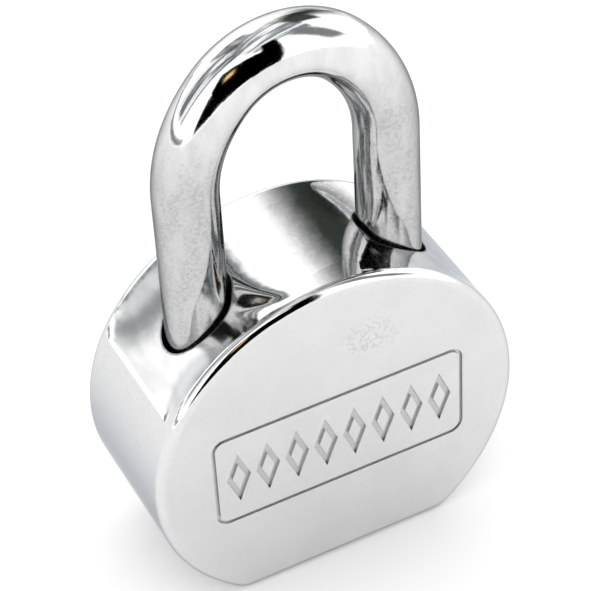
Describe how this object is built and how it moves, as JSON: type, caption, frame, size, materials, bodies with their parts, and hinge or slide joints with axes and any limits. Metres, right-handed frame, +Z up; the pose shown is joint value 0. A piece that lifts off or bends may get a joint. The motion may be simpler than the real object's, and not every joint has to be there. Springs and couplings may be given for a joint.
{
  "type": "disc padlock",
  "caption": "Solid steel disc padlock with flat base, dished shoulders, lift-up round-bar shackle held by locking balls, and a pin cylinder in the base",
  "frame": {"origin": "centre of the flat underside, on the plane the lock stands on", "axes": "+Z up through the shackle, -Y out of the engraved front face, +X to the right seen from the front; heel leg at -X"},
  "size_m": [0.065, 0.0278, 0.1015],
  "materials": {
    "chromed_body": "bright chrome plate, satin on the flat faces",
    "shackle_steel": "polished arch, satin legs",
    "ball_steel": "ground bearing ball",
    "cam_steel": "plain machined steel",
    "cylinder_brass": "turned brass",
    "plug_brass": "turned brass, face polished",
    "pin_brass": "turned brass",
    "driver_steel": "turned steel",
    "spring_wire": "drawn spring wire",
    "clip_steel": "stamped spring steel",
    "guard_steel": "hardened, ground",
    "keeper_steel": "hardened dowel"
  },
  "bodies": {
    "case": {"body": "chromed_body", "cylinder_shell": "cylinder_brass", "chamber_strip": "cylinder_brass", "guard_plate": "guard_steel", "cylinder_pin": "keeper_steel", "heel_pin": "keeper_steel", "shackle_spring": "spring_wire", "driver_pin_1": "driver_steel", "driver_pin_2": "driver_steel", "driver_pin_3": "driver_steel", "driver_pin_4": "driver_steel", "driver_pin_5": "driver_steel", "pin_spring_1": "spring_wire", "pin_spring_2": "spring_wire", "pin_spring_3": "spring_wire", "pin_spring_4": "spring_wire", "pin_spring_5": "spring_wire"},
    "shackle": {"shackle": "shackle_steel"},
    "plug": {"plug": "plug_brass", "plug_clip": "clip_steel", "tail_bar": "cam_steel", "key_pin_1": "pin_brass", "key_pin_2": "pin_brass", "key_pin_3": "pin_brass", "key_pin_4": "pin_brass", "key_pin_5": "pin_brass"},
    "cam": {"cam": "cam_steel"},
    "ball_heel": {"ball_heel": "ball_steel"},
    "ball_toe": {"ball_toe": "ball_steel"}
  },
  "joints": [
    {"name": "shackle_lift", "type": "slide", "parent": "case", "child": "shackle", "axis": [0, 0, 1], "range_m": [0, 0.0165], "deforming": ["shackle_spring"]},
    {"name": "plug_turn", "type": "hinge", "parent": "case", "child": "plug", "pos_m": [0, 0, 0.016], "axis": [0, 0, 1], "range_deg": [0, 90]},
    {"name": "cam_turn", "type": "hinge", "parent": "case", "child": "cam", "pos_m": [0, 0, 0.041], "axis": [0, 0, 1], "range_deg": [0, 90]},
    {"name": "heel_ball_slide", "type": "slide", "parent": "case", "child": "ball_heel", "axis": [1, 0, 0], "range_m": [0, 0.0027]},
    {"name": "toe_ball_slide", "type": "slide", "parent": "case", "child": "ball_toe", "axis": [-1, 0, 0], "range_m": [0, 0.0027]}
  ],
  "couplings": [
    {"joint": "plug_turn", "follows": "shackle_lift", "rad_per_m": 95.2},
    {"joint": "cam_turn", "follows": "shackle_lift", "rad_per_m": 95.2},
    {"joint": "heel_ball_slide", "follows": "shackle_lift", "ratio": 0.16364},
    {"joint": "toe_ball_slide", "follows": "shackle_lift", "ratio": 0.16364}
  ]
}
